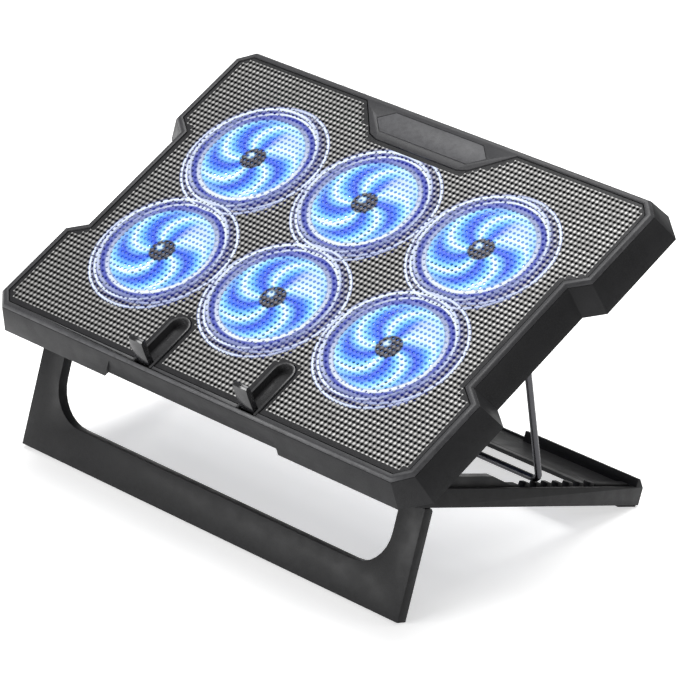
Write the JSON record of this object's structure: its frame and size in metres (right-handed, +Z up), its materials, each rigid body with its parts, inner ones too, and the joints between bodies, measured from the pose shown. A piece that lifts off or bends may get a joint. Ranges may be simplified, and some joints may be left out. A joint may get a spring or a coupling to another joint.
{
  "type": "laptop cooling pad",
  "caption": "Folding laptop cooling pad: tilted mesh-topped housing with lit fans and flip-up stops, on a tray with a leg and a wire bail.",
  "frame": {"origin": "centre of the bounding box, on the ground the stand rests on", "axes": "+X to the right seen from the front, -Y towards the user and the stops, +Z up"},
  "size_m": [0.4094, 0.2682, 0.2335],
  "materials": {
    "housing_plastic": "fine-textured black",
    "frame_plastic": "dark grey satin",
    "mesh_metal": "silver-grey perforated sheet",
    "stop_plastic": "smooth black",
    "fan_frame_plastic": "translucent blue-white",
    "fan_blade_plastic": "translucent blue-white, lit",
    "coil_copper": "enamelled copper windings",
    "steel": "bright steel",
    "wire_steel": "black-coated wire",
    "board": "green circuit board",
    "rubber": "matt black"
  },
  "bodies": {
    "base": {"base_tray": "housing_plastic", "pad_hinge_pin_left": "steel", "pad_hinge_pin_right": "steel", "leg_hinge_pin_left": "steel", "leg_hinge_pin_right": "steel", "tray_foot_left": "rubber", "tray_foot_right": "rubber"},
    "pad": {"badge_plate": "frame_plastic", "bail_clip_left": "housing_plastic", "bail_clip_right": "housing_plastic", "control_board": "board", "fan_frame_1": "fan_frame_plastic", "fan_frame_2": "fan_frame_plastic", "fan_frame_3": "fan_frame_plastic", "fan_frame_4": "fan_frame_plastic", "fan_frame_5": "fan_frame_plastic", "fan_frame_6": "fan_frame_plastic", "fan_stator_1": "coil_copper", "fan_stator_2": "coil_copper", "fan_stator_3": "coil_copper", "fan_stator_4": "coil_copper", "fan_stator_5": "coil_copper", "fan_stator_6": "coil_copper", "housing_screw_1": "steel", "housing_screw_2": "steel", "housing_screw_3": "steel", "housing_screw_4": "steel", "lower_housing": "housing_plastic", "mesh_panel": "mesh_metal", "stop_pin_left": "steel", "stop_pin_right": "steel", "stop_pocket_left": "housing_plastic", "stop_pocket_right": "housing_plastic", "top_frame": "frame_plastic", "usb_socket_1": "steel", "usb_socket_2": "steel"},
    "leg": {"front_leg": "housing_plastic", "leg_foot_left": "rubber", "leg_foot_right": "rubber"},
    "bail": {"support_bail": "wire_steel"},
    "stop_left": {"stop_left": "stop_plastic"},
    "stop_right": {"stop_right": "stop_plastic"},
    "dial": {"speed_dial": "stop_plastic"},
    "button": {"light_button": "stop_plastic"},
    "fan_1": {"fan_rotor_1": "fan_blade_plastic", "fan_shaft_1": "steel"},
    "fan_2": {"fan_rotor_2": "fan_blade_plastic", "fan_shaft_2": "steel"},
    "fan_3": {"fan_rotor_3": "fan_blade_plastic", "fan_shaft_3": "steel"},
    "fan_4": {"fan_rotor_4": "fan_blade_plastic", "fan_shaft_4": "steel"},
    "fan_5": {"fan_rotor_5": "fan_blade_plastic", "fan_shaft_5": "steel"},
    "fan_6": {"fan_rotor_6": "fan_blade_plastic", "fan_shaft_6": "steel"}
  },
  "joints": [
    {"name": "pad_tilt", "type": "hinge", "parent": "base", "child": "pad", "pos_m": [0, -0.09047, 0.09455], "axis": [1, 0, 0], "range_deg": [-45.4, 0]},
    {"name": "bail_swing", "type": "hinge", "parent": "pad", "child": "bail", "pos_m": [0, 0.00567, 0.15202], "axis": [1, 0, 0], "range_deg": [0, 105.3]},
    {"name": "leg_fold", "type": "hinge", "parent": "base", "child": "leg", "pos_m": [0, -0.08836, 0.07303], "axis": [1, 0, 0], "range_deg": [0, 87.9]},
    {"name": "stop_left_fold", "type": "hinge", "parent": "pad", "child": "stop_left", "pos_m": [-0.047, -0.12324, 0.11339], "axis": [1, 0, 0], "range_deg": [-88, 0]},
    {"name": "stop_right_fold", "type": "hinge", "parent": "pad", "child": "stop_right", "pos_m": [0.0514, -0.12324, 0.11339], "axis": [1, 0, 0], "range_deg": [-88, 0]},
    {"name": "dial_turn", "type": "hinge", "parent": "pad", "child": "dial", "pos_m": [-0.107, 0.1214, 0.22271], "axis": [0, -0.4384, 0.8988], "range_deg": [0, 270]},
    {"name": "button_press", "type": "slide", "parent": "pad", "child": "button", "axis": [0, -0.8988, -0.4384], "range_m": [0, 0.0008], "stiffness_N_per_m": 600, "springref_m": -0.0005},
    {"name": "fan_1_spin", "type": "hinge", "parent": "pad", "child": "fan_1", "pos_m": [-0.115, -0.03958, 0.14419], "axis": [0, -0.4384, 0.8988], "continuous": true},
    {"name": "fan_2_spin", "type": "hinge", "parent": "pad", "child": "fan_2", "pos_m": [-0.008, -0.03958, 0.14419], "axis": [0, -0.4384, 0.8988], "continuous": true},
    {"name": "fan_3_spin", "type": "hinge", "parent": "pad", "child": "fan_3", "pos_m": [0.099, -0.03958, 0.14419], "axis": [0, -0.4384, 0.8988], "continuous": true},
    {"name": "fan_4_spin", "type": "hinge", "parent": "pad", "child": "fan_4", "pos_m": [-0.115, 0.0485, 0.18715], "axis": [0, -0.4384, 0.8988], "continuous": true},
    {"name": "fan_5_spin", "type": "hinge", "parent": "pad", "child": "fan_5", "pos_m": [-0.008, 0.0485, 0.18715], "axis": [0, -0.4384, 0.8988], "continuous": true},
    {"name": "fan_6_spin", "type": "hinge", "parent": "pad", "child": "fan_6", "pos_m": [0.099, 0.0485, 0.18715], "axis": [0, -0.4384, 0.8988], "continuous": true}
  ],
  "couplings": [
    {"joint": "bail_swing", "follows": "pad_tilt", "ratio": -2.316}
  ]
}
